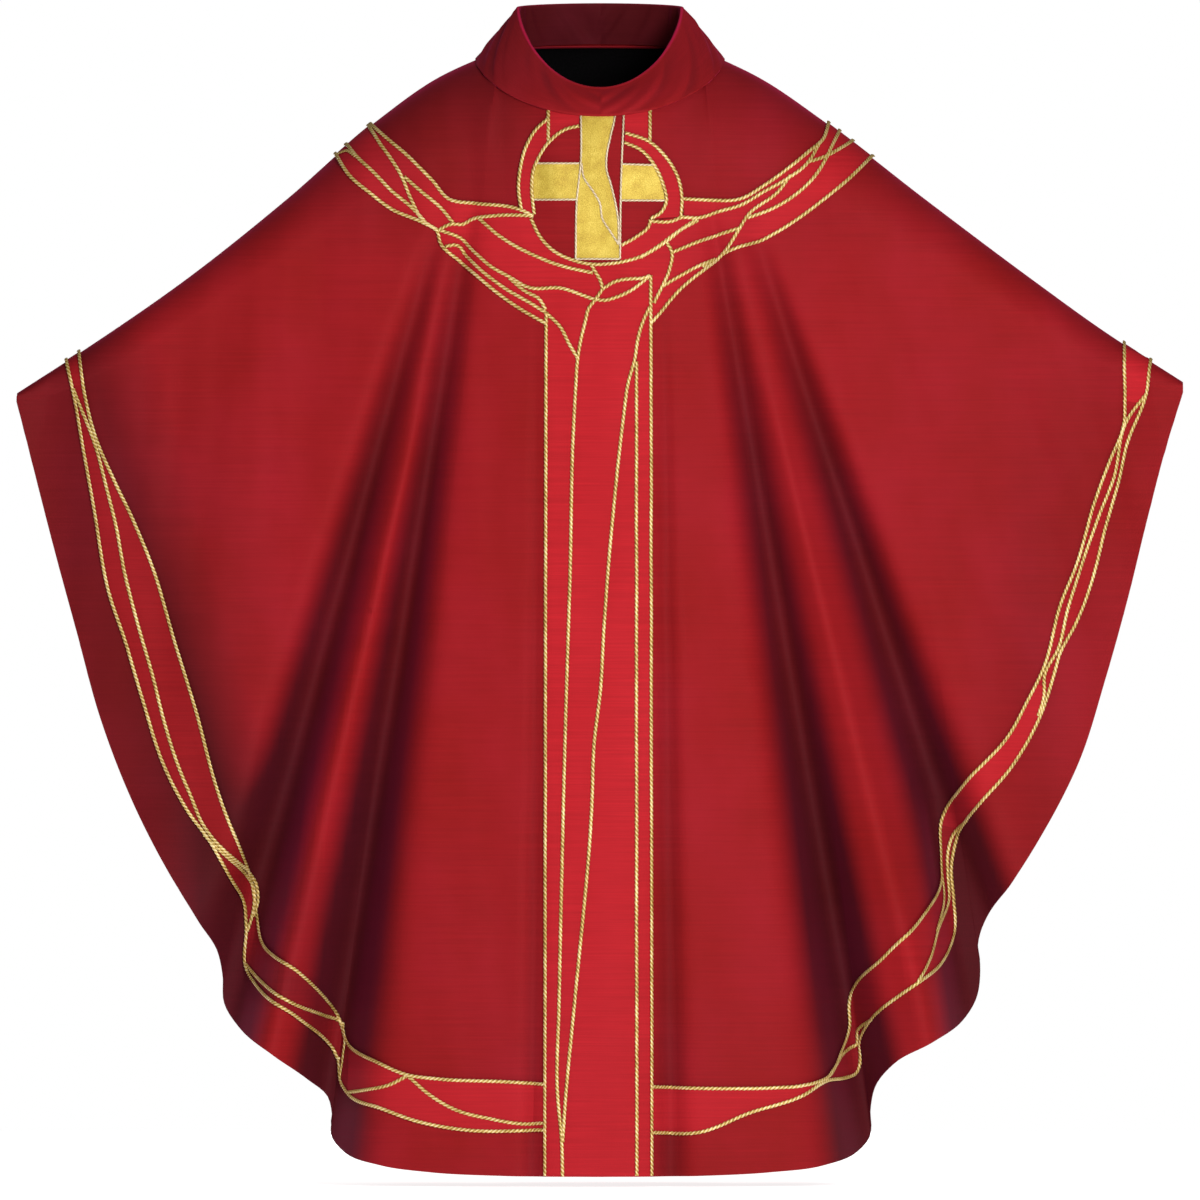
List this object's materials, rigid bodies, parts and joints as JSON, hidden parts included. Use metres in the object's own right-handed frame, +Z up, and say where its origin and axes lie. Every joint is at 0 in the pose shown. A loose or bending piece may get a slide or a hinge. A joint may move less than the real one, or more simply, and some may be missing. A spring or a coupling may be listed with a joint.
{
  "type": "chasuble",
  "caption": "Wide red vestment worn over the shoulders, with a roll collar, open sides, appliqued cross and orphrey bands edged in gold braid",
  "frame": {"origin": "middle of the neck, level with the tops of the shoulders, where the wearer's or the dummy's shoulders hold the garment", "axes": "+Z up, -Y towards the front with the cross, +X towards the right wing as seen from the front"},
  "size_m": [1.3594, 0.3848, 1.3673],
  "materials": {
    "crimson_silk": "plain-woven dupion with a soft sheen",
    "bright_red_silk": "bright dupion with fine crosswise slubs",
    "dark_red_silk": "dark red dupion",
    "gold_lame": "mottled metallic cloth",
    "gold_braid": "twisted metallic thread, sewn down",
    "black_lining": "smooth black lining",
    "interlining": "matt felted stiffening",
    "seam_tape": "woven tape"
  },
  "bodies": {
    "root": {"back_arm_left": "bright_red_silk", "back_arm_right": "bright_red_silk", "back_border_left": "bright_red_silk", "back_border_right": "bright_red_silk", "back_braid_arm_bottom_left": "gold_braid", "back_braid_arm_bottom_right": "gold_braid", "back_braid_arm_top_left": "gold_braid", "back_braid_arm_top_right": "gold_braid", "back_braid_border_inner_left": "gold_braid", "back_braid_border_inner_right": "gold_braid", "back_braid_border_outer_left": "gold_braid", "back_braid_border_outer_right": "gold_braid", "back_braid_pillar_left": "gold_braid", "back_braid_pillar_right": "gold_braid", "back_panel_left": "crimson_silk", "back_panel_right": "crimson_silk", "back_pillar": "bright_red_silk", "braid_arm_bottom_left": "gold_braid", "braid_arm_bottom_right": "gold_braid", "braid_arm_top_left": "gold_braid", "braid_arm_top_right": "gold_braid", "braid_border_inner_left": "gold_braid", "braid_border_inner_right": "gold_braid", "braid_border_outer_left": "gold_braid", "braid_border_outer_right": "gold_braid", "braid_bowl": "gold_braid", "braid_cross_vein": "gold_braid", "braid_facet": "gold_braid", "braid_pillar_left": "gold_braid", "braid_pillar_right": "gold_braid", "braid_ring_inner_left": "gold_braid", "braid_ring_inner_right": "gold_braid", "braid_ring_outer_left": "gold_braid", "braid_ring_outer_right": "gold_braid", "braid_stem": "gold_braid", "braid_vein": "gold_braid", "collar_fall": "crimson_silk", "collar_interlining": "interlining", "collar_stand": "crimson_silk", "cross_arm_left": "gold_lame", "cross_arm_right": "gold_lame", "cross_upright": "gold_lame", "front_border_left": "bright_red_silk", "front_border_right": "bright_red_silk", "front_panel_left": "crimson_silk", "front_panel_right": "crimson_silk", "medallion_field": "dark_red_silk", "neck_lining": "black_lining", "neck_strip_left": "bright_red_silk", "neck_strip_right": "bright_red_silk", "orphrey_arm_left": "bright_red_silk", "orphrey_arm_right": "bright_red_silk", "orphrey_pillar": "bright_red_silk", "orphrey_pillar_facet": "dark_red_silk", "ring_left": "bright_red_silk", "ring_right": "bright_red_silk", "shoulder_seam_tape_left": "seam_tape", "shoulder_seam_tape_right": "seam_tape"}
  },
  "joints": []
}
